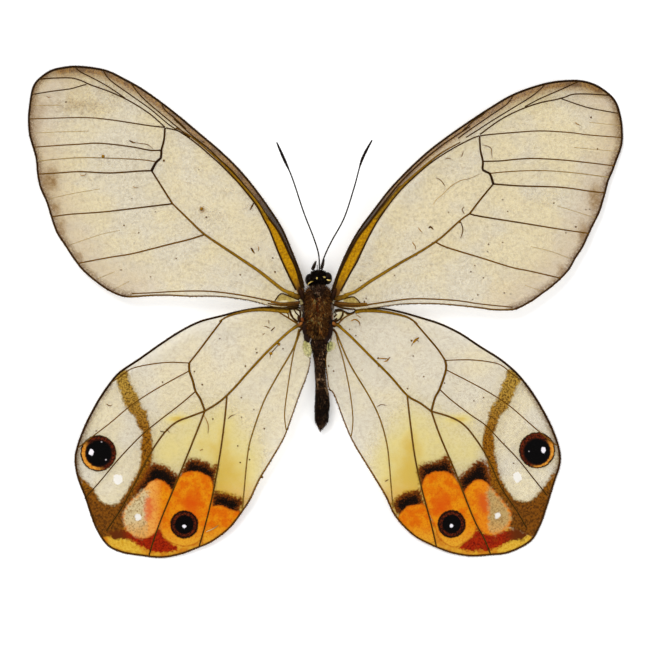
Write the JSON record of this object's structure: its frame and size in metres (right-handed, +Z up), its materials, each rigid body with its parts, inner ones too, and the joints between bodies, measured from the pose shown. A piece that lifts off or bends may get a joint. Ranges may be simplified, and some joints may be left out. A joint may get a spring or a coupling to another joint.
{
  "type": "spread butterfly specimen",
  "caption": "Dried clear-winged butterfly with spread see-through wings, dark veins, ringed eyespots and a hairy body, lying upper side up.",
  "frame": {"origin": "on the surface that the specimen lies on, under the middle of the thorax", "axes": "+X towards the wingtip that is on the right seen from above, +Y towards the head, +Z up"},
  "size_m": [0.0595, 0.0492, 0.0031],
  "materials": {
    "wing_membrane": "see-through, thin, with coloured scales on the hindwings",
    "body_hair": "matt, hairy",
    "abdomen_scales": "matt with fine scales",
    "dark_shell": "smooth, faintly shining",
    "feelers_and_legs": "matt, finely scaled"
  },
  "bodies": {
    "root": {"forewing_left": "wing_membrane", "forewing_right": "wing_membrane", "hindwing_left": "wing_membrane", "hindwing_right": "wing_membrane", "thorax": "body_hair", "abdomen": "abdomen_scales", "head": "dark_shell", "antenna_left": "feelers_and_legs", "antenna_right": "feelers_and_legs", "palp_left": "feelers_and_legs", "palp_right": "feelers_and_legs", "tongue": "feelers_and_legs", "front_leg_left": "feelers_and_legs", "front_leg_right": "feelers_and_legs", "middle_leg_left": "feelers_and_legs", "middle_leg_right": "feelers_and_legs", "hind_leg_left": "feelers_and_legs", "hind_leg_right": "feelers_and_legs"}
  },
  "joints": []
}
